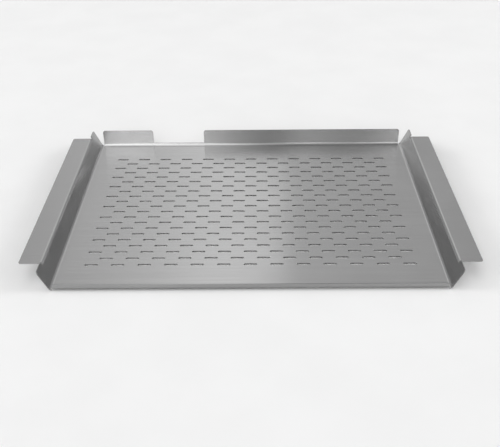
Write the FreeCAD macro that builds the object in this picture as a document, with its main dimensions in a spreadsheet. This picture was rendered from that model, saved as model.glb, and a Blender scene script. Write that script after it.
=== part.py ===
import FreeCAD, Part
import math
import os

import Sketcher

# Baguette tray: one blank of perforated stainless sheet, folded up on all four sides.
#
# Every flat panel and every bend of the blank is a solid of its own, and neighbours meet
# face to face at the bend lines.  Millimetres, +X to the right, +Y to the rear stop, +Z up.
# The origin is at the middle of the underside, level with the surface the tray stands on.

DIMENSIONS = {
    "overall_width": 600,        # across the two hanger flanges
    "overall_depth": 400,        # front lip to rear stop, outside faces
    "sheet_thickness": 1,
    "bend_radius": 4,            # inside radius of every bend
    "floor_width": 516,          # between the two side fold lines, on the underside
    "wall_angle": 65,            # side wall's lean, degrees above the horizontal
    "hanger_height": 26,         # top of the hanger flanges above the underside
    "hanger_length": 353,        # shorter than the side walls at both ends
    "hanger_corner": 3,
    "ear_height": 29,            # top of the side walls' free ends, beside the flanges
    "ear_corner": 4,
    "relief_gap": 0.6,           # laser-cut slit where two folded edges part
    "front_lip_height": 9,
    "front_lip_corner": 2,
    "rear_stop_height": 29,
    "rear_stop_corner": 4,
    "rear_gap_start": -168,      # the gap in the rear stop, along X
    "rear_gap_end": -81,
    "slot_length": 18,
    "slot_width": 4,
    "slot_pitch": 35.65,         # slot to slot along a row
    "row_pitch": 14.7,           # row to row, every second row shifted by half a slot pitch
    "slots_in_long_row": 13,
    "long_rows": 11,
}

HALF_WIDTH = "Dims.overall_width / 2"
HALF_DEPTH = "Dims.overall_depth / 2"
HALF_FLOOR = "Dims.floor_width / 2"
THICKNESS = "Dims.sheet_thickness"
OUTSIDE_RADIUS = "(Dims.bend_radius + Dims.sheet_thickness)"
# Distance from a fold line to the end of its bend, along the outside and the inside face.
OUTSIDE_SETBACK = f"({OUTSIDE_RADIUS} * tan(Dims.wall_angle / 2))"
INSIDE_SETBACK = "(Dims.bend_radius * tan(Dims.wall_angle / 2))"
FLAT_HALF_WIDTH = f"({HALF_FLOOR} - {OUTSIDE_SETBACK})"
FLAT_HALF_DEPTH = f"({HALF_DEPTH} - {OUTSIDE_RADIUS})"
# The front and rear edges are folded between the side bends, a slit away from them.
EDGE_HALF_WIDTH = f"({FLAT_HALF_WIDTH} - Dims.relief_gap)"
# Distances up the side wall's outside face, measured from the side fold line.
WALL_START = OUTSIDE_SETBACK
WALL_FOLD = f"((Dims.hanger_height - {THICKNESS}) / sin(Dims.wall_angle))"
WALL_END = f"({WALL_FOLD} - {INSIDE_SETBACK})"
EAR_END = f"((Dims.ear_height - {THICKNESS} * cos(Dims.wall_angle)) / sin(Dims.wall_angle))"
HANGER_BEND_X = f"({HALF_FLOOR} + {WALL_FOLD} * cos(Dims.wall_angle) + {INSIDE_SETBACK})"
HANGER_BEND_Z = f"(Dims.hanger_height - {OUTSIDE_RADIUS})"

SIDES = {"left": -1, "right": 1}
CUT_MARGIN = 1.0                 # mm, how far a cutting profile runs past the sheet
SAME_PLACE = 1e-6                # mm, lengths closer than this are taken as equal
VOLUME_LEEWAY = 1.0              # mm3, between a measured volume and the one worked out
X_AXIS = FreeCAD.Vector(1, 0, 0)
Y_AXIS = FreeCAD.Vector(0, 1, 0)
Z_AXIS = FreeCAD.Vector(0, 0, 1)


def make_sheet(document):
    """Write the driving dimensions into a spreadsheet, one named cell each."""
    sheet = document.addObject("Spreadsheet::Sheet", "Dims")
    for row, (name, value) in enumerate(DIMENSIONS.items(), start=1):
        sheet.set(f"A{row}", name)
        sheet.set(f"B{row}", str(value))
        sheet.setAlias(f"B{row}", name)
    document.recompute()


def number(document, expression):
    """The value that an expression of the sheet's cells has now."""
    return float(document.Dims.evalExpression(str(expression)))


def origin_feature(body, role):
    """One of the body's own origin planes or axes."""
    return next(item for item in body.Origin.OriginFeatures if item.Role == role)


def new_body(document, label):
    body = document.addObject("PartDesign::Body", label)
    body.Label = label
    return body


def new_sketch(body, plane, name):
    sketch = body.newObject("Sketcher::SketchObject", name)
    sketch.AttachmentSupport = (origin_feature(body, plane), [""])
    sketch.MapMode = "FlatFace"
    return sketch


def bind(sketch, constraint, expression):
    """Add a dimension to the sketch and tie it to the sheet."""
    index = sketch.addConstraint(constraint)
    sketch.setExpression(f"Constraints[{index}]", str(expression))


def place_point(sketch, edge, end, x, y, x_value, y_value):
    bind(sketch, Sketcher.Constraint("DistanceX", edge, end, x_value), x)
    bind(sketch, Sketcher.Constraint("DistanceY", edge, end, y_value), y)


def polygon_sketch(body, plane, name, corners):
    """A closed outline whose corners are pairs of expressions."""
    sketch = new_sketch(body, plane, name)
    values = [(number(body.Document, x), number(body.Document, y)) for x, y in corners]
    count = len(corners)
    for index, (x, y) in enumerate(values):
        next_x, next_y = values[(index + 1) % count]
        start = FreeCAD.Vector(x, y, 0)
        sketch.addGeometry(Part.LineSegment(start, FreeCAD.Vector(next_x, next_y, 0)), False)
    for index in range(count):
        sketch.addConstraint(Sketcher.Constraint("Coincident", index, 2, (index + 1) % count, 1))
    for index, (x, y) in enumerate(corners):
        place_point(sketch, index, 1, x, y, *values[index])
    return sketch


def rectangle(low_x, high_x, low_y, high_y):
    return [(low_x, low_y), (high_x, low_y), (high_x, high_y), (low_x, high_y)]


def pad(body, sketch, length, midplane=False):
    feature = body.newObject("PartDesign::Pad", f"{body.Name}_pad")
    feature.Profile = sketch
    feature.Midplane = midplane
    feature.setExpression("Length", length)
    sketch.Visibility = False
    body.Document.recompute()
    return feature


def round_edges(body, base, name, radius, is_corner):
    """Round the straight edges of the base feature that the test picks out."""
    names = [f"Edge{index}" for index, edge in enumerate(base.Shape.Edges, start=1) if is_corner(edge)]
    feature = body.newObject("PartDesign::Fillet", name)
    feature.Base = (base, names)
    feature.setExpression("Radius", radius)
    body.Document.recompute()
    return feature


def crosses_sheet(edge, direction):
    """True for a straight edge that runs through the sheet's thickness, along the direction."""
    span = edge.Vertexes[-1].Point.sub(edge.Vertexes[0].Point)
    is_thickness = abs(span.Length - DIMENSIONS["sheet_thickness"]) < SAME_PLACE
    return is_thickness and abs(abs(span.dot(direction)) - span.Length) < SAME_PLACE


def corner_test(direction, **distances):
    """A test for edges through the sheet at these distances from the middle, along x, y or z."""
    def is_corner(edge):
        middle = edge.CenterOfMass
        is_there = all(abs(abs(getattr(middle, axis)) - far) < SAME_PLACE for axis, far in distances.items())
        return is_there and crosses_sheet(edge, direction)
    return is_corner


def slot_sketch(body, name, centre_x, centre_y):
    """One slot with round ends, lying along X."""
    sketch = new_sketch(body, "XY_Plane", name)
    document = body.Document
    half_run = "(Dims.slot_length - Dims.slot_width) / 2"
    radius = "Dims.slot_width / 2"
    x_value = number(document, centre_x)
    y_value = number(document, centre_y)
    run_value = number(document, half_run)
    radius_value = number(document, radius)
    for side, start in ((1, -math.pi / 2), (-1, math.pi / 2)):
        centre = FreeCAD.Vector(x_value + side * run_value, y_value, 0)
        circle = Part.Circle(centre, Z_AXIS, radius_value)
        sketch.addGeometry(Part.ArcOfCircle(circle, start, start + math.pi), False)
    for side in (1, -1):
        start = FreeCAD.Vector(x_value + side * run_value, y_value + side * radius_value, 0)
        end = FreeCAD.Vector(x_value - side * run_value, y_value + side * radius_value, 0)
        sketch.addGeometry(Part.LineSegment(start, end), False)
    right_arc, left_arc, top_line, bottom_line = range(4)
    loop = (right_arc, top_line, left_arc, bottom_line)
    for first, second in zip(loop, loop[1:] + loop[:1]):
        sketch.addConstraint(Sketcher.Constraint("Tangent", first, 2, second, 1))
    sketch.addConstraint(Sketcher.Constraint("Horizontal", top_line))
    right_x = f"({centre_x}) + {half_run}"
    left_x = f"({centre_x}) - {half_run}"
    place_point(sketch, right_arc, 3, right_x, centre_y, x_value + run_value, y_value)
    bind(sketch, Sketcher.Constraint("DistanceX", left_arc, 3, x_value - run_value), left_x)
    bind(sketch, Sketcher.Constraint("Radius", right_arc, radius_value), radius)
    return sketch


def slot_field(body, name, slots, rows):
    """Cut one slot and repeat it along the row and from row to row, about the panel's middle."""
    slots_value, rows_value = f"({slots})", f"({rows})"
    first_x = f"-({slots_value} - 1) / 2 * Dims.slot_pitch"
    first_y = f"-({rows_value} - 1) * Dims.row_pitch"
    sketch = slot_sketch(body, f"{name}_outline", first_x, first_y)
    pocket = body.newObject("PartDesign::Pocket", f"{name}_first")
    pocket.Profile = sketch
    pocket.Type = "ThroughAll"
    pocket.Midplane = True
    sketch.Visibility = False
    body.Document.recompute()
    field = body.newObject("PartDesign::MultiTransform", name)
    field.Originals = [pocket]
    steps = (
        ("X_Axis", slots_value, "Dims.slot_pitch"),
        ("Y_Axis", rows_value, "2 * Dims.row_pitch"),
    )
    transforms = []
    for role, count, pitch in steps:
        pattern = body.newObject("PartDesign::LinearPattern", f"{name}_{role}")
        pattern.Direction = (origin_feature(body, role), [""])
        pattern.setExpression("Length", f"({count} - 1) * {pitch}")
        pattern.setExpression("Occurrences", count)
        transforms.append(pattern)
    field.Transformations = transforms
    body.Tip = field
    body.Document.recompute()
    return field


def make_floor_panel(document):
    """The flat perforated bottom, between the ends of the four bends."""
    body = new_body(document, "floor_panel")
    outline = rectangle(f"-{FLAT_HALF_WIDTH}", FLAT_HALF_WIDTH, f"-{FLAT_HALF_DEPTH}", FLAT_HALF_DEPTH)
    pad(body, polygon_sketch(body, "XY_Plane", "floor_outline", outline), THICKNESS)
    slot_field(body, "long_rows", "Dims.slots_in_long_row", "Dims.long_rows")
    slot_field(body, "short_rows", "Dims.slots_in_long_row - 1", "Dims.long_rows - 1")
    return body


def wall_section(side, low, high, inside, outside):
    """A section of the leaning sheet, between two distances up it and two across it."""
    section = []
    for up, across in ((low, outside), (high, outside), (high, inside), (low, inside)):
        x = f"{side} * ({HALF_FLOOR} + {up} * cos(Dims.wall_angle) - {across} * sin(Dims.wall_angle))"
        z = f"{up} * sin(Dims.wall_angle) + {across} * cos(Dims.wall_angle)"
        section.append((x, z))
    return section


def make_side_wall(document, name, side):
    """A leaning side panel whose two free ends, the ears, rise past the hanger bend."""
    body = new_body(document, f"{name}_side_wall")
    section = wall_section(side, WALL_START, EAR_END, THICKNESS, "0")
    sketch = polygon_sketch(body, "XZ_Plane", f"{name}_wall_section", section)
    wall = pad(body, sketch, "Dims.overall_depth", midplane=True)
    across_sheet = FreeCAD.Rotation(Y_AXIS, -side * DIMENSIONS["wall_angle"]).multVec(Z_AXIS)
    middle_x = f"{HALF_FLOOR} + {EAR_END} * cos(Dims.wall_angle) - {THICKNESS} * sin(Dims.wall_angle) / 2"
    is_ear_corner = corner_test(across_sheet, x=number(document, middle_x), y=number(document, HALF_DEPTH))
    round_edges(body, wall, f"{name}_ear_corners", "Dims.ear_corner", is_ear_corner)
    past_end = f"({EAR_END} + {CUT_MARGIN})"
    cut = wall_section(side, WALL_END, past_end, f"({THICKNESS} + {CUT_MARGIN})", f"(-{CUT_MARGIN})")
    notch = body.newObject("PartDesign::Pocket", f"{name}_hanger_notch")
    notch.Profile = polygon_sketch(body, "XZ_Plane", f"{name}_notch_section", cut)
    notch.Midplane = True
    notch.setExpression("Length", "Dims.hanger_length + 2 * Dims.relief_gap")
    return body


def make_hanger_flange(document, name, side):
    """The flat outward flange that hangs on a rack runner."""
    body = new_body(document, f"{name}_hanger_flange")
    inner, outer = f"{side} * {HANGER_BEND_X}", f"{side} * {HALF_WIDTH}"
    outline = rectangle(inner, outer, "-Dims.hanger_length / 2", "Dims.hanger_length / 2")
    flange = pad(body, polygon_sketch(body, "XY_Plane", f"{name}_flange_outline", outline), THICKNESS)
    body.setExpression("Placement.Base.z", f"Dims.hanger_height - {THICKNESS}")
    is_outer_corner = corner_test(Z_AXIS, x=number(document, HALF_WIDTH))
    round_edges(body, flange, f"{name}_flange_corners", "Dims.hanger_corner", is_outer_corner)
    return body


def make_upright(document, label, low_x, high_x, top, corner, outer_y):
    """An upright strip of sheet above the front or rear bend, with its top corners rounded."""
    body = new_body(document, label)
    outline = rectangle(low_x, high_x, OUTSIDE_RADIUS, top)
    strip = pad(body, polygon_sketch(body, "XZ_Plane", f"{label}_outline", outline), THICKNESS)
    body.setExpression("Placement.Base.y", outer_y)
    is_top_corner = corner_test(Y_AXIS, z=number(document, top))
    round_edges(body, strip, f"{label}_corners", corner, is_top_corner)
    return body


def make_bend(document, label, length, angle, directions, place):
    """A bend: the sector of a tube swept from the first direction towards the second."""
    tubes = []
    for wall, radius in (("outside", OUTSIDE_RADIUS), ("inside", "Dims.bend_radius")):
        tube = document.addObject("Part::Cylinder", f"{label}_{wall}")
        tube.setExpression("Radius", radius)
        tube.setExpression("Height", length)
        tube.setExpression("Angle", angle)
        tube.Visibility = False
        tubes.append(tube)
    bend = document.addObject("Part::Cut", label)
    bend.Base, bend.Tool = tubes
    bend.Label = label
    start, towards = directions
    bend.Placement = FreeCAD.Placement(
        FreeCAD.Vector(), FreeCAD.Rotation(start, towards, start.cross(towards), "ZXY")
    )
    for axis, expression in zip("xyz", place):
        bend.setExpression(f"Placement.Base.{axis}", expression)
    return bend


def make_side(document, name, side):
    """The four regions of one side: floor bend, leaning wall, hanger bend, hanger flange."""
    outward = X_AXIS * side
    floor_bend = make_bend(
        document, f"{name}_floor_bend", "Dims.overall_depth", "Dims.wall_angle",
        (-Z_AXIS, outward), (f"{side} * {FLAT_HALF_WIDTH}", f"{side} * {HALF_DEPTH}", OUTSIDE_RADIUS),
    )
    hanger_bend = make_bend(
        document, f"{name}_hanger_bend", "Dims.hanger_length", "Dims.wall_angle",
        (Z_AXIS, -outward), (f"{side} * {HANGER_BEND_X}", f"{side} * Dims.hanger_length / 2", HANGER_BEND_Z),
    )
    wall = make_side_wall(document, name, side)
    return [floor_bend, wall, hanger_bend, make_hanger_flange(document, name, side)]


def make_edge_bend(document, label, side):
    """The right-angle bend along the front edge (side -1) or the rear edge (side 1)."""
    place = (f"-{side} * {EDGE_HALF_WIDTH}", f"{side} * {FLAT_HALF_DEPTH}", OUTSIDE_RADIUS)
    return make_bend(document, label, f"2 * {EDGE_HALF_WIDTH}", "90", (-Z_AXIS, Y_AXIS * side), place)


def make_front_and_rear(document):
    """The low front lip and the tall rear stop, which a gap parts in two."""
    low_x, high_x = f"-{EDGE_HALF_WIDTH}", EDGE_HALF_WIDTH
    lip = ("Dims.front_lip_height", "Dims.front_lip_corner", f"{THICKNESS} - {HALF_DEPTH}")
    stop = ("Dims.rear_stop_height", "Dims.rear_stop_corner", HALF_DEPTH)
    return [
        make_edge_bend(document, "front_bend", -1),
        make_upright(document, "front_lip", low_x, high_x, *lip),
        make_edge_bend(document, "rear_bend", 1),
        make_upright(document, "rear_stop_short", low_x, "Dims.rear_gap_start", *stop),
        make_upright(document, "rear_stop_long", "Dims.rear_gap_end", high_x, *stop),
    ]


def check(document, pieces):
    """Stop before anything is written if any object failed or any piece is not one valid solid."""
    for item in document.Objects:
        if {"Invalid", "Error"} & set(item.State):
            raise RuntimeError(f"{item.Name} failed: {item.State}")
    for piece in pieces:
        shape = piece.Shape
        if shape.isNull() or not shape.isValid() or len(shape.Solids) != 1:
            raise RuntimeError(f"{piece.Label} is not one valid solid")


def perforated_area(document):
    """The floor panel's area, less its slots."""
    long_row, long_rows = DIMENSIONS["slots_in_long_row"], DIMENSIONS["long_rows"]
    slots = long_row * long_rows + (long_row - 1) * (long_rows - 1)
    width, length = DIMENSIONS["slot_width"], DIMENSIONS["slot_length"]
    slot_area = (length - width) * width + math.pi * width ** 2 / 4
    return 4 * number(document, FLAT_HALF_WIDTH) * number(document, FLAT_HALF_DEPTH) - slots * slot_area


def notched_area(document):
    """A side wall's area, less its notch and what its two rounded corners lack."""
    start, fold, end = (number(document, expression) for expression in (WALL_START, WALL_END, EAR_END))
    notch = DIMENSIONS["hanger_length"] + 2 * DIMENSIONS["relief_gap"]
    corners = (2 - math.pi / 2) * DIMENSIONS["ear_corner"] ** 2
    return (end - start) * DIMENSIONS["overall_depth"] - (end - fold) * notch - corners


def check_volumes(document, pieces):
    """Compare the cut panels with areas worked out by hand, so that no cut is missing."""
    areas = {"floor_panel": perforated_area(document)}
    for name in SIDES:
        areas[f"{name}_side_wall"] = notched_area(document)
    for piece in pieces:
        area = areas.get(piece.Label)
        if area is None:
            continue
        expected = area * DIMENSIONS["sheet_thickness"]
        if abs(piece.Shape.Volume - expected) > VOLUME_LEEWAY:
            raise RuntimeError(f"{piece.Label} holds {piece.Shape.Volume} mm3, not {expected}")


def write(pieces):
    """Write each piece to a file of its own and print what it measures."""
    os.makedirs("parts", exist_ok=True)
    for piece in pieces:
        piece.Shape.exportStep(f"parts/{piece.Label}.step")
        box = piece.Shape.BoundBox
        sides = (box.XMin, box.XMax, box.YMin, box.YMax, box.ZMin, box.ZMax)
        print(piece.Label, round(piece.Shape.Volume, 1), "mm3", [round(side, 2) for side in sides])


def main():
    document = FreeCAD.newDocument("baguette_tray")
    make_sheet(document)
    pieces = [make_floor_panel(document)] + make_front_and_rear(document)
    for name, side in SIDES.items():
        pieces += make_side(document, name, side)
    document.recompute()
    check(document, pieces)
    check_volumes(document, pieces)
    write(pieces)


main()
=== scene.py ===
import math

import bpy
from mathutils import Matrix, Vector
from mathutils.geometry import delaunay_2d_cdt


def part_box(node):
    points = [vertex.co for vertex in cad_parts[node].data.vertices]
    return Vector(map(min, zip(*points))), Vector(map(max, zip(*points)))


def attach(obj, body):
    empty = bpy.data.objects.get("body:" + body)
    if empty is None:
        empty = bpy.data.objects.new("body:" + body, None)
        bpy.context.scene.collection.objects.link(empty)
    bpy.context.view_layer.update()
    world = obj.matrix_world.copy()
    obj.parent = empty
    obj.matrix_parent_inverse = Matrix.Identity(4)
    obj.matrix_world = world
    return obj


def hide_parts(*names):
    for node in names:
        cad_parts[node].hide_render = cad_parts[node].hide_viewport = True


# Baguette tray, brushed stainless sheet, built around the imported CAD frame.  Metres.
#
# Every CAD region of the blank gets a finer mesh of its own here: the same solid with
# deburred edges, even bends and exact normals, so that light runs over a bend as it does
# over folded metal.  The regions are laid out flat, as on the blank, then folded.

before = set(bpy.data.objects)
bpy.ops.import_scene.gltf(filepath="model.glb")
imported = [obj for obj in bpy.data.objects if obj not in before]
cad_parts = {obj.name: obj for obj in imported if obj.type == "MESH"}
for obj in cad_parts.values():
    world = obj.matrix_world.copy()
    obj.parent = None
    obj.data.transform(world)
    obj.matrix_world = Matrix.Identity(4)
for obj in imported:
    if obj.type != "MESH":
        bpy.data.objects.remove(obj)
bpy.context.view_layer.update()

MM = 0.001
BODY = "root"
SIDES = (("left", -1), ("right", 1))     # name, sign of x

# ---------------------------------------------------------------- sizes read off the frame

floor_low, floor_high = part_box("floor_panel")
bend_low, bend_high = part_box("right_floor_bend")
flange_low, flange_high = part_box("right_hanger_flange")
front_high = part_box("front_bend")[1]

SHEET = floor_high.z - floor_low.z
OUTSIDE_RADIUS = front_high.z
INSIDE_RADIUS = OUTSIDE_RADIUS - SHEET
LEAN = math.asin((bend_high.x - bend_low.x) / OUTSIDE_RADIUS)
FLAT_HALF_WIDTH = floor_high.x
FLAT_HALF_DEPTH = floor_high.y
HALF_DEPTH = bend_high.y
EDGE_HALF_WIDTH = front_high.x
FLANGE_WIDTH = flange_high.x - flange_low.x
HANGER_HALF_LENGTH = flange_high.y
HANGER_TOP = flange_high.z
EAR_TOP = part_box("right_side_wall")[1].z

# What the frame's boxes can't tell, as in the part's own sheet.
SLOT_LENGTH = 18 * MM
SLOT_WIDTH = 4 * MM
SLOT_PITCH = 35.65 * MM
ROW_PITCH = 14.7 * MM
LONG_ROW_SLOTS = 13
LONG_ROWS = 11
RELIEF = 0.6 * MM
HANGER_CORNER = 3 * MM
EAR_CORNER = 4 * MM
LIP_CORNER = 2 * MM
STOP_CORNER = 4 * MM

# ---------------------------------------------------------------- how fine the meshes are

EDGE_ROUND = 0.18 * MM           # deburred edge radius
EDGE_STEPS = 3
CORNER_STEPS = 8                 # per quarter turn of a rounded corner
SLOT_END_STEPS = 12              # per half turn at a slot's end
BEND_STEP = math.radians(3.0)    # about one face per this turn
INSIDE_WITHOUT_HOLES = 2         # delaunay_2d_cdt's output type
FILL_TOLERANCE = 1e-7
SAME_DIRECTION = 1e-6            # sine of the angle below which two edges count as one line


# ---------------------------------------------------------------- flat outlines

def arc_points(centre, radius, start, end, steps):
    """Points along an arc in the plane, both ends included."""
    angles = [start + (end - start) / steps * i for i in range(steps + 1)]
    return [(centre[0] + radius * math.cos(a), centre[1] + radius * math.sin(a)) for a in angles]


def outline(corners):
    """A closed counter-clockwise outline from (x, y, corner radius, joined) corners.

    joined says that the edge that starts at this corner is a bend line, where the next
    region goes on, so it stays square.  Returns the points and each edge's joined flag.
    """
    points, joined = [], []
    count = len(corners)
    for i, (x, y, radius, is_joined) in enumerate(corners):
        before, after = corners[i - 1], corners[(i + 1) % count]
        if radius <= 0:
            points.append((x, y))
            joined.append(is_joined)
            continue
        here = Vector((x, y))
        back = (Vector(before[:2]) - here).normalized()
        ahead = (Vector(after[:2]) - here).normalized()
        opening = back.angle(ahead)
        reach = radius / math.tan(opening / 2)
        centre = here + (back + ahead).normalized() * (radius / math.sin(opening / 2))
        start = here + back * reach - centre
        end = here + ahead * reach - centre
        first = math.atan2(start.y, start.x)
        sweep = math.atan2(start.x * end.y - start.y * end.x, start.dot(end))
        corner = arc_points(centre, radius, first, first + sweep, CORNER_STEPS)
        points += corner
        joined += [False] * (len(corner) - 1) + [is_joined]
    return points, joined


def slot_outline(x, y):
    """A slot's outline, clockwise, so that its outward normals point into the hole."""
    half_run = (SLOT_LENGTH - SLOT_WIDTH) / 2
    radius = SLOT_WIDTH / 2
    right = arc_points((x + half_run, y), radius, math.pi / 2, -math.pi / 2, SLOT_END_STEPS)
    left = arc_points((x - half_run, y), radius, -math.pi / 2, -3 * math.pi / 2, SLOT_END_STEPS)
    points = right + left
    return points, [False] * len(points)


def slot_outlines():
    """Long and short rows by turns, the short ones shifted by half a pitch."""
    slots = []
    rows = 2 * LONG_ROWS - 1
    for row in range(rows):
        count = LONG_ROW_SLOTS - row % 2
        y = (row - (rows - 1) / 2) * ROW_PITCH
        slots += [slot_outline((i - (count - 1) / 2) * SLOT_PITCH, y) for i in range(count)]
    return slots


def edge_normals(points):
    """The outward normal of each edge of an outline."""
    normals = []
    for i, point in enumerate(points):
        along = (Vector(points[(i + 1) % len(points)]) - Vector(point)).normalized()
        normals.append(Vector((along.y, -along.x)))
    return normals


def inset_points(points, joined, distance):
    """The outline moved inwards by the distance, but not across its bend lines."""
    normals = edge_normals(points)
    moved = []
    for i, point in enumerate(points):
        n0, n1 = normals[i - 1], normals[i]
        d0 = 0.0 if joined[i - 1] else distance
        d1 = 0.0 if joined[i] else distance
        cross = n0.x * n1.y - n0.y * n1.x
        if abs(cross) < SAME_DIRECTION:
            offset = n1 * d1
        else:
            offset = Vector(((d0 * n1.y - d1 * n0.y) / cross, (d1 * n0.x - d0 * n1.x) / cross))
        moved.append((point[0] - offset.x, point[1] - offset.y))
    return moved


def corner_normals(points, joined):
    """The outward normal at each point: the mean of its two edges' normals.

    Beside a bend line it is the free edge's normal alone.
    """
    normals = edge_normals(points)
    result = []
    for i in range(len(points)):
        if joined[i - 1] != joined[i]:
            result.append(normals[i] if joined[i - 1] else normals[i - 1])
        else:
            result.append((normals[i - 1] + normals[i]).normalized())
    return result


# ---------------------------------------------------------------- meshes of sheet

def edge_profile():
    """Across the sheet's cut edge, from underside to top: (inset, height, outward, upward)."""
    profile = []
    for centre_height, start in ((EDGE_ROUND, -math.pi / 2), (SHEET - EDGE_ROUND, 0.0)):
        for step in range(EDGE_STEPS + 1):
            angle = start + step * math.pi / 2 / EDGE_STEPS
            outward, upward = math.cos(angle), math.sin(angle)
            inset = EDGE_ROUND * (1 - outward)
            profile.append((inset, centre_height + EDGE_ROUND * upward, outward, upward))
    return profile


class SheetMesh:
    """Vertices with exact normals and blank coordinates, folded into place as they are added.

    sides says where each vertex lies on the sheet: 1 on the top face, -1 on the underside and
    0 on a cut edge.  The steel's material reads it as the attribute "side".
    """

    def __init__(self, fold):
        self.fold = fold
        self.vertices = []
        self.normals = []
        self.blank = []
        self.sides = []
        self.faces = []
        self.is_square = []

    def add(self, x, y, height, nx, ny, nz):
        place, normal, blank = self.fold(x, y, height, nx, ny, nz)
        self.vertices.append(place)
        self.normals.append(normal)
        self.blank.append(blank)
        self.sides.append(nz)
        return len(self.vertices) - 1

    def face(self, corners, square=False):
        self.faces.append(tuple(corners))
        self.is_square.append(square)

    def to_object(self, name):
        mesh = bpy.data.meshes.new(name)
        mesh.from_pydata(self.vertices, [], self.faces)
        mesh.polygons.foreach_set("use_smooth", [True] * len(self.faces))
        mesh.attributes.new("side", "FLOAT", "POINT").data.foreach_set("value", self.sides)
        layer = mesh.uv_layers.new(name="blank")
        loop_normals = []
        for polygon, square in zip(mesh.polygons, self.is_square):
            flat_normal = polygon.normal.copy()
            for loop in polygon.loop_indices:
                vertex = mesh.loops[loop].vertex_index
                layer.data[loop].uv = self.blank[vertex]
                loop_normals.append(flat_normal if square else self.normals[vertex])
        mesh.normals_split_custom_set(loop_normals)
        mesh.validate()
        piece = bpy.data.objects.new(name, mesh)
        bpy.context.scene.collection.objects.link(piece)
        return piece


def add_edge_band(sheet, points, joined):
    """The cut edge all round one outline.  Returns its lowest and its highest ring."""
    normals = corner_normals(points, joined)
    rings = []
    for inset, height, outward, upward in edge_profile():
        moved = inset_points(points, joined, inset)
        ring = []
        for (x, y), normal in zip(moved, normals):
            ring.append(sheet.add(x, y, height, normal.x * outward, normal.y * outward, upward))
        rings.append(ring)
    count = len(points)
    for low, high in zip(rings, rings[1:]):
        for i in range(count):
            j = (i + 1) % count
            sheet.face((low[i], low[j], high[j], high[i]), square=joined[i])
    return rings[0], rings[-1]


def fill(sheet, rings, outlines, upward):
    """Close one face of the sheet between its outer ring and the rings of its holes."""
    flat, owners, loops = [], [], []
    for ring, points in zip(rings, outlines):
        loops.append(list(range(len(flat), len(flat) + len(ring))))
        flat += [Vector(point) for point in points]
        owners += ring
    result = delaunay_2d_cdt(flat, [], loops, INSIDE_WITHOUT_HOLES, FILL_TOLERANCE)
    points_out, faces_out, origins = result[0], result[2], result[3]
    if len(points_out) != len(flat):
        raise RuntimeError("the filled face made points of its own")
    for face in faces_out:
        corners = [owners[origins[i][0]] for i in face]
        sheet.face(corners if upward else corners[::-1])


def flat_region(name, border, fold, holes=()):
    """A flat region of the blank, with its cut edges rounded and its holes punched."""
    sheet = SheetMesh(fold)
    bottom, top = [], []
    inner_outlines = []
    for points, joined in (border, *holes):
        low_ring, high_ring = add_edge_band(sheet, points, joined)
        bottom.append(low_ring)
        top.append(high_ring)
        inner_outlines.append(inset_points(points, joined, EDGE_ROUND))
    fill(sheet, bottom, inner_outlines, upward=False)
    fill(sheet, top, inner_outlines, upward=True)
    return sheet.to_object(name)


def bend_region(name, half_length, angle, fold):
    """A bend: the sheet's section, rounded at its two cut ends, turned through the angle."""
    sheet = SheetMesh(fold)
    section = []
    for inset, height, outward, upward in edge_profile():
        section.append((half_length - inset, height, outward, upward))
    for inset, height, outward, upward in reversed(edge_profile()):
        section.append((inset - half_length, height, -outward, upward))
    steps = round(angle / BEND_STEP)
    rings = []
    for step in range(steps + 1):
        turned = angle * step / steps
        ring = [sheet.add(turned, y, height, 0.0, ny, nz) for y, height, ny, nz in section]
        rings.append(ring)
    count = len(section)
    for low, high in zip(rings, rings[1:]):
        for i in range(count):
            j = (i + 1) % count
            sheet.face((low[i], low[j], high[j], high[i]))
    sheet.face(rings[0][::-1], square=True)
    sheet.face(rings[-1], square=True)
    return sheet.to_object(name)


# ---------------------------------------------------------------- folding the blank

class Place:
    """Where a stretch of the blank starts: a point on its underside, and its directions."""

    def __init__(self, origin, outward, along, blank, blank_outward):
        self.origin = Vector(origin)
        self.outward = Vector(outward)
        self.along = Vector(along)
        self.up = self.outward.cross(self.along)
        self.blank = Vector(blank)
        self.blank_outward = Vector(blank_outward)
        self.blank_along = Vector((-self.blank_outward.y, self.blank_outward.x))

    def flat(self, x, y, height, nx, ny, nz):
        """Fold function of a flat stretch: x outwards, y along the bend line."""
        place = self.origin + self.outward * x + self.along * y + self.up * height
        normal = self.outward * nx + self.along * ny + self.up * nz
        return place, normal, self.blank + self.blank_outward * x + self.blank_along * y

    def turned(self, angle):
        """The outward and up directions after the sheet has turned up by the angle."""
        outward = self.outward * math.cos(angle) + self.up * math.sin(angle)
        return outward, self.up * math.cos(angle) - self.outward * math.sin(angle)

    def bend(self, turn):
        """Fold function of a bend that turns up (1) or down (-1): x is the angle turned."""
        def fold(angle, y, height, nx, ny, nz):
            outward, up = self.turned(turn * angle)
            radius = OUTSIDE_RADIUS - height if turn > 0 else INSIDE_RADIUS + height
            centre = self.origin + self.up * (OUTSIDE_RADIUS if turn > 0 else -INSIDE_RADIUS)
            place = centre - up * (turn * radius) + self.along * y
            normal = outward * nx + self.along * ny + up * nz
            run = (INSIDE_RADIUS + SHEET / 2) * angle
            return place, normal, self.blank + self.blank_outward * run + self.blank_along * y
        return fold

    def after_flat(self, length):
        """The place at the far end of a flat stretch of this length."""
        origin = self.origin + self.outward * length
        blank = self.blank + self.blank_outward * length
        return Place(origin, self.outward, self.along, blank, self.blank_outward)

    def after_bend(self, turn, angle):
        """The place at the far end of a bend through this angle."""
        origin, _, blank = self.bend(turn)(angle, 0.0, 0.0, 0.0, 0.0, 1.0)
        outward, _ = self.turned(turn * angle)
        return Place(origin, outward, self.along, blank, self.blank_outward)


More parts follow.
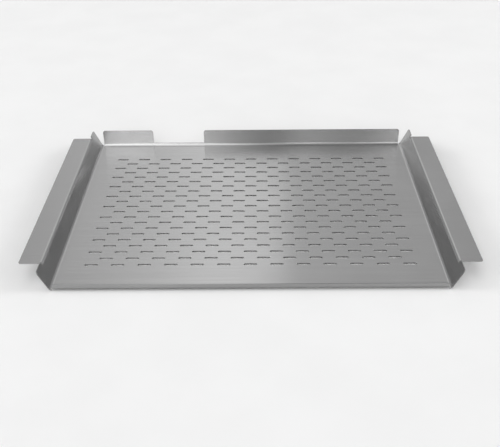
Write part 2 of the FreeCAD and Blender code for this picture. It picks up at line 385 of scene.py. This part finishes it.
def rectangle(low_x, high_x, low_y, high_y, outer_radius, joined_edges):
    """A rectangle's outline, counter-clockwise from its corner at low x and low y.

    Only the two corners at high x are rounded.  joined_edges names the bend lines among
    "low_y", "high_x", "high_y" and "low_x".
    """
    return outline([
        (low_x, low_y, 0, "low_y" in joined_edges),
        (high_x, low_y, outer_radius, "high_x" in joined_edges),
        (high_x, high_y, outer_radius, "high_y" in joined_edges),
        (low_x, high_y, 0, "low_x" in joined_edges),
    ])


# ---------------------------------------------------------------- the tray's regions

def keep(piece, node, material):
    """The piece stands for its CAD node, with the tray's one material."""
    piece.data.materials.append(material)
    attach(piece, BODY)
    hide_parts(node)


def build_floor(material):
    """The punched floor, which is joined to a bend on all four sides."""
    place = Place((0, 0, 0), (1, 0, 0), (0, 1, 0), (0, 0), (1, 0))
    width, depth = FLAT_HALF_WIDTH, FLAT_HALF_DEPTH
    border = rectangle(-width, width, -depth, depth, 0, ("low_y", "high_x", "high_y", "low_x"))
    keep(flat_region("floor_sheet", border, place.flat, slot_outlines()), "floor_panel", material)


def wall_outline(fold_length, ear_length):
    """The side wall: joined to the floor bend below and, between its ears, to the hanger bend."""
    notch = HANGER_HALF_LENGTH + RELIEF
    small = RELIEF / 2
    return outline([
        (0, -HALF_DEPTH, 0, False),
        (ear_length, -HALF_DEPTH, EAR_CORNER, False),
        (ear_length, -notch, small, False),
        (fold_length, -notch, small, False),
        (fold_length, -HANGER_HALF_LENGTH, 0, True),
        (fold_length, HANGER_HALF_LENGTH, 0, False),
        (fold_length, notch, small, False),
        (ear_length, notch, small, False),
        (ear_length, HALF_DEPTH, EAR_CORNER, False),
        (0, HALF_DEPTH, 0, True),
    ])


def build_side(name, side, material):
    """Floor bend, leaning wall, hanger bend and hanger flange of one side."""
    edge = side * FLAT_HALF_WIDTH
    start = Place((edge, 0, 0), (side, 0, 0), (0, side, 0), (edge, 0), (side, 0))
    bend = bend_region(f"{name}_floor_bend_sheet", HALF_DEPTH, LEAN, start.bend(1))
    keep(bend, f"{name}_floor_bend", material)

    wall = start.after_bend(1, LEAN)
    hanger_centre = HANGER_TOP - OUTSIDE_RADIUS
    fold_top = hanger_centre + INSIDE_RADIUS * math.cos(LEAN)
    fold_length = (fold_top - wall.origin.z) / math.sin(LEAN)
    ear_length = (EAR_TOP - SHEET * math.cos(LEAN) - wall.origin.z) / math.sin(LEAN)
    panel = flat_region(f"{name}_wall_sheet", wall_outline(fold_length, ear_length), wall.flat)
    keep(panel, f"{name}_side_wall", material)

    hanger = wall.after_flat(fold_length)
    bend = bend_region(f"{name}_hanger_bend_sheet", HANGER_HALF_LENGTH, LEAN, hanger.bend(-1))
    keep(bend, f"{name}_hanger_bend", material)

    place = hanger.after_bend(-1, LEAN)
    length = HANGER_HALF_LENGTH
    border = rectangle(0, FLANGE_WIDTH, -length, length, HANGER_CORNER, ("low_x",))
    flange = flat_region(f"{name}_flange_sheet", border, place.flat)
    keep(flange, f"{name}_hanger_flange", material)


def build_edge(side, bend_node, uprights, corner, material):
    """The front (side -1) or rear (side 1) bend and the upright strips that stand on it."""
    edge = side * FLAT_HALF_DEPTH
    start = Place((0, edge, 0), (0, side, 0), (-side, 0, 0), (0, edge), (0, side))
    bend = bend_region(f"{bend_node}_sheet", EDGE_HALF_WIDTH, math.pi / 2, start.bend(1))
    keep(bend, bend_node, material)
    place = start.after_bend(1, math.pi / 2)
    for node in uprights:
        low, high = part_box(node)
        ends = sorted((-side * low.x, -side * high.x))
        border = rectangle(0, high.z - OUTSIDE_RADIUS, *ends, corner, ("low_x",))
        keep(flat_region(f"{node}_sheet", border, place.flat), node, material)


# ---------------------------------------------------------------- materials

class Nodes:
    """A short way to build a shader: nodes are added, set and linked in one call.

    An input is given by its name, with underscores for spaces, or as i0, i1, ... by its number.
    """

    def __init__(self, tree):
        self.tree = tree
        tree.nodes.clear()

    def add(self, kind, settings=(), **inputs):
        node = self.tree.nodes.new(f"ShaderNode{kind}")
        for name, value in dict(settings).items():
            setattr(node, name, value)
        for name, value in inputs.items():
            by_number = name[0] == "i" and name[1:].isdigit()
            socket = node.inputs[int(name[1:]) if by_number else name.replace("_", " ")]
            if isinstance(value, bpy.types.NodeSocket):
                self.tree.links.new(value, socket)
            else:
                socket.default_value = value
        return node

    def math(self, operation, first, second=0.0):
        return self.add("Math", {"operation": operation}, i0=first, i1=second).outputs[0]

    def scaled(self, value, factor, offset):
        """The value times the factor, plus the offset."""
        settings = {"operation": "MULTIPLY_ADD"}
        return self.add("Math", settings, i0=value, i1=factor, i2=offset).outputs[0]

    def mix(self, share, first, second):
        return self.add("Mix", {"data_type": "FLOAT"}, i0=share, i2=first, i3=second).outputs[0]

    def ramp(self, value, from_low, from_high, to_low, to_high):
        """A smooth step from one range to another, clamped at both ends."""
        return self.add(
            "MapRange", {"interpolation_type": "SMOOTHSTEP"},
            i0=value, i1=from_low, i2=from_high, i3=to_low, i4=to_high,
        ).outputs[0]


# The steel.  A tone is a linear reflectance; a noise is (length along the grain, width across
# it, detail, roughness of the noise) on the flat blank.
STEEL_TONE = 0.50
STEEL_ROUGHNESS = 0.22
HAIRLINES = (90 * MM, 0.4 * MM, 4.0, 0.65)
HAIRLINE_TONE = 0.16
HAIRLINE_ROUGHNESS = 0.10
BANDS = (300 * MM, 3.5 * MM, 3.0, 0.5)
BAND_TONE = 0.07
CLOUDS = (120 * MM, 90 * MM, 2.0, 0.5)
CLOUD_ROUGHNESS = (0.35, 0.65, -0.02, 0.02)      # noise from and to, added roughness from and to
BUMP_STRENGTH = 0.5
BUMP_DEPTH = 0.02 * MM
ANISOTROPY = 1.0
HIGHLIGHT_TURN = 0.25            # of a full turn: highlights are drawn out across the grain
# A punched or sheared edge is rougher than the face and painted darker: partly its duller cut,
# partly painted shade inside the slots.  The underside, which is the outside of lip, stops and
# walls, is painted darker: partly its duller finish, partly painted shade on the lip's outside.
# Limits are values of the attribute "side".
CUT_EDGE_LIMITS = (0.1, 0.8)
CUT_EDGE_DULL_AND_SHADE_SHARE = 0.45
CUT_EDGE_ROUGHER = 0.20
UNDERSIDE_LIMITS = (-0.9, -0.5)
UNDERSIDE_DULL_AND_SHADE_SHARE = 0.66

# The ground under the tray.
GROUND_NOISE_SCALE = 9.0
GROUND_NOISE_DETAIL = 3.0
GROUND_TONES = (0.3, 0.7, 0.86, 0.88)            # noise from and to, tone from and to
GROUND_ROUGHNESS = 0.95


def stretched_noise(nodes, coordinates, along, across, detail, roughness):
    """Noise drawn out along the grain: features this long along it and this wide across it."""
    mapping = nodes.add("Mapping", Vector=coordinates, Scale=(1 / along, 1 / across, 1.0))
    return nodes.add(
        "TexNoise", Vector=mapping.outputs[0], Scale=1.0, Detail=detail, Roughness=roughness,
    ).outputs[0]


def brushed_stainless():
    """Satin stainless sheet, ground along its long side before it was punched and folded."""
    material = bpy.data.materials.new("brushed_stainless")
    material.use_nodes = True
    nodes = Nodes(material.node_tree)
    blank = nodes.add("UVMap", {"uv_map": "blank"}).outputs[0]
    side = nodes.add("Attribute", {"attribute_name": "side"}).outputs["Fac"]
    hairlines = stretched_noise(nodes, blank, *HAIRLINES)
    bands = stretched_noise(nodes, blank, *BANDS)
    clouds = stretched_noise(nodes, blank, *CLOUDS)
    flatness = nodes.math("ABSOLUTE", side)

    shade = nodes.scaled(hairlines, HAIRLINE_TONE, -HAIRLINE_TONE / 2)
    tone = nodes.scaled(bands, BAND_TONE, -BAND_TONE / 2)
    value = nodes.math("ADD", nodes.math("ADD", shade, tone), STEEL_TONE)
    # Painted shade: cut edges, the slot walls among them, are darkened, partly for their duller
    # sheared finish and partly to stand for the shade inside the slots.
    cut_edge_dull_and_shade = nodes.ramp(flatness, *CUT_EDGE_LIMITS, CUT_EDGE_DULL_AND_SHADE_SHARE, 1.0)
    value = nodes.math("MULTIPLY", value, cut_edge_dull_and_shade)
    # Painted shade: the underside is darkened, partly for its duller finish and partly to stand
    # for the darker reflection on the front lip's outside face.
    underside_dull_and_shade = nodes.ramp(side, *UNDERSIDE_LIMITS, UNDERSIDE_DULL_AND_SHADE_SHARE, 1.0)
    value = nodes.math("MULTIPLY", value, underside_dull_and_shade)
    colour = nodes.add("CombineColor", i0=value, i1=value, i2=value).outputs[0]

    low_roughness = STEEL_ROUGHNESS - HAIRLINE_ROUGHNESS / 2
    rough = nodes.scaled(hairlines, HAIRLINE_ROUGHNESS, low_roughness)
    rough = nodes.math("ADD", rough, nodes.ramp(clouds, *CLOUD_ROUGHNESS))
    rougher = nodes.ramp(flatness, *CUT_EDGE_LIMITS, CUT_EDGE_ROUGHER, 0.0)
    rough = nodes.math("ADD", rough, rougher)

    bump = nodes.add("Bump", Strength=BUMP_STRENGTH, Distance=BUMP_DEPTH, Height=hairlines)
    tangent = nodes.add("Tangent", {"direction_type": "UV_MAP", "uv_map": "blank"}).outputs[0]
    shader = nodes.add(
        "BsdfPrincipled", Base_Color=colour, Metallic=1.0, Roughness=rough,
        Normal=bump.outputs[0], Tangent=tangent,
        Anisotropic=ANISOTROPY, Anisotropic_Rotation=HIGHLIGHT_TURN,
    )
    nodes.add("OutputMaterial", Surface=shader.outputs[0])
    return material


def pale_floor():
    """The plain matt surface that the tray stands on."""
    material = bpy.data.materials.new("pale_floor")
    material.use_nodes = True
    nodes = Nodes(material.node_tree)
    place = nodes.add("TexCoord").outputs["Object"]
    mottle = nodes.add(
        "TexNoise", Vector=place, Scale=GROUND_NOISE_SCALE, Detail=GROUND_NOISE_DETAIL,
    ).outputs[0]
    value = nodes.ramp(mottle, *GROUND_TONES)
    colour = nodes.add("CombineColor", i0=value, i1=value, i2=value).outputs[0]
    shader = nodes.add("BsdfPrincipled", Base_Color=colour, Roughness=GROUND_ROUGHNESS)
    nodes.add("OutputMaterial", Surface=shader.outputs[0])
    return material


# ---------------------------------------------------------------- the studio

FLOOR_SIZE = 60.0
FLOOR_DROP = 1.5 * MM
CAMERA_PLACE = (0.0073, -0.9320, 0.5880)
CAMERA_TURN = (56.40, 0.51, 0.19)                # degrees
CAMERA_LENS = 52.56                              # millimetres, as the sensor's width
SENSOR_WIDTH = 36.0
CAMERA_NEAR = 0.01

# One square softbox on each side, turned towards the tray.
TRAY_MIDDLE = Vector((0.0, 0.0, 0.0))
SOFTBOX_SIDE = 5.25
SOFTBOX_HEIGHT = 2.55
SOFTBOX_SIZE = 2.1
SOFTBOX_POWER = 99

# Light levels round the room, as (degrees right of straight ahead, level) stops.
BEHIND_TRAY = (
    (-90, 0.60), (-60, 0.30), (-41, 0.24), (-35, 0.30), (-29, 0.48), (-20, 0.62),
    (-15.5, 0.73), (-12, 0.79), (-8, 0.92), (-5.5, 1.02), (0, 1.04), (2.2, 1.04),
    (3.2, 0.69), (8, 0.67), (14, 0.64), (18, 0.63), (24, 0.58), (31, 0.41), (42, 0.32),
    (90, 0.60),
)
BEHIND_VIEWER = (
    (-90, 0.60), (-25, 1.60), (-12, 2.60), (-8, 2.60), (-4.5, 1.80), (-2.5, 1.00),
    (-1, 0.62), (0.2, 0.32), (2.2, 0.32), (3.0, 1.50), (4, 2.20), (6, 1.10), (8, 0.55),
    (9.5, 0.80), (12, 2.50), (30, 1.10), (90, 0.50),
)
# Where the walls behind the tray take over from those behind the viewer, by y.
BEHIND_EDGE = (-0.15, 0.15, 0.0, 1.0)
# Behind the tray: sine of the elevation from and to, share of the level from and to.
HORIZON_BAND = (0.10, 0.42, 0.42, 1.0)
# The ceiling reaches lower on the viewer's side: slope, and the height where it takes over.
CEILING_SLOPE = -0.35
CEILING_EDGE = (0.78, 0.90, 0.0, 1.0)
# It is brighter on the left: x from and to, level from and to.
CEILING = (-0.05, 0.03, 1.50, 0.44)


def build_stage():
    """The ground, just below the tray."""
    mesh = bpy.data.meshes.new("stage_floor")
    signs = ((-1, -1), (1, -1), (1, 1), (-1, 1))
    corners = [(x * FLOOR_SIZE / 2, y * FLOOR_SIZE / 2, -FLOOR_DROP) for x, y in signs]
    mesh.from_pydata(corners, [], [(0, 1, 2, 3)])
    mesh.materials.append(pale_floor())
    floor = bpy.data.objects.new("stage_floor", mesh)
    bpy.context.scene.collection.objects.link(floor)


def build_camera():
    """In front of the tray and above it, looking down at it."""
    camera = bpy.data.cameras.new("camera")
    camera.lens = CAMERA_LENS
    camera.sensor_width = SENSOR_WIDTH
    camera.sensor_fit = "HORIZONTAL"
    camera.clip_start = CAMERA_NEAR
    holder = bpy.data.objects.new("camera", camera)
    holder.location = CAMERA_PLACE
    holder.rotation_euler = [math.radians(angle) for angle in CAMERA_TURN]
    bpy.context.scene.collection.objects.link(holder)
    bpy.context.scene.camera = holder


def add_softbox(name, side):
    place = Vector((side * SOFTBOX_SIDE, 0.0, SOFTBOX_HEIGHT))
    light = bpy.data.lights.new(name, "AREA")
    light.shape = "SQUARE"
    light.size = SOFTBOX_SIZE
    light.energy = SOFTBOX_POWER
    holder = bpy.data.objects.new(name, light)
    holder.location = place
    holder.rotation_euler = (TRAY_MIDDLE - place).to_track_quat("-Z", "Y").to_euler()
    bpy.context.scene.collection.objects.link(holder)


def level_around(nodes, azimuth, stops):
    """Light level against azimuth, in straight lines through (degrees, level) stops."""
    low, high = stops[0][0], stops[-1][0]
    limits = {"i1": math.radians(low), "i2": math.radians(high)}
    ramp = nodes.add("ValToRGB", i0=nodes.add("MapRange", i0=azimuth, **limits).outputs[0])
    ramp.color_ramp.interpolation = "LINEAR"
    elements = ramp.color_ramp.elements
    while len(elements) < len(stops):
        elements.new(0.5)        # its place is set below
    peak = max(level for _, level in stops)
    for element, (degrees, level) in zip(elements, stops):
        element.position = (degrees - low) / (high - low)
        shade = level / peak
        element.color = (shade, shade, shade, 1.0)
    return nodes.math("MULTIPLY", ramp.outputs[0], peak)


def studio_world():
    """A soft room, whose walls vary in brightness behind the tray and behind the viewer.

    Behind the tray they are darker near the horizon.  The ceiling is brighter on the left.
    """
    world = bpy.data.worlds.new("studio")
    world.use_nodes = True
    nodes = Nodes(world.node_tree)
    direction = nodes.add("TexCoord").outputs["Generated"]
    x, y, z = nodes.add("SeparateXYZ", Vector=direction).outputs
    beyond_tray = level_around(nodes, nodes.math("ARCTAN2", x, y), BEHIND_TRAY)
    beyond_tray = nodes.math("MULTIPLY", beyond_tray, nodes.ramp(z, *HORIZON_BAND))
    towards_viewer = nodes.math("MULTIPLY", y, -1.0)
    beyond_viewer = level_around(nodes, nodes.math("ARCTAN2", x, towards_viewer), BEHIND_VIEWER)
    walls = nodes.mix(nodes.ramp(y, *BEHIND_EDGE), beyond_viewer, beyond_tray)
    height = nodes.math("ADD", z, nodes.math("MULTIPLY", y, CEILING_SLOPE))
    level = nodes.mix(nodes.ramp(height, *CEILING_EDGE), walls, nodes.ramp(x, *CEILING))
    background = nodes.add("Background", Color=(1.0, 1.0, 1.0, 1.0), Strength=level)
    nodes.add("OutputWorld", Surface=background.outputs[0])
    return world


def build_light():
    bpy.context.scene.world = studio_world()
    for name, side in SIDES:
        add_softbox(f"side_{name}", side)
    bpy.context.scene.view_settings.view_transform = "Standard"


def build():
    steel = brushed_stainless()
    build_floor(steel)
    for name, side in SIDES:
        build_side(name, side, steel)
    build_edge(-1, "front_bend", ["front_lip"], LIP_CORNER, steel)
    build_edge(1, "rear_bend", ["rear_stop_short", "rear_stop_long"], STOP_CORNER, steel)
    build_stage()
    build_camera()
    build_light()


build()
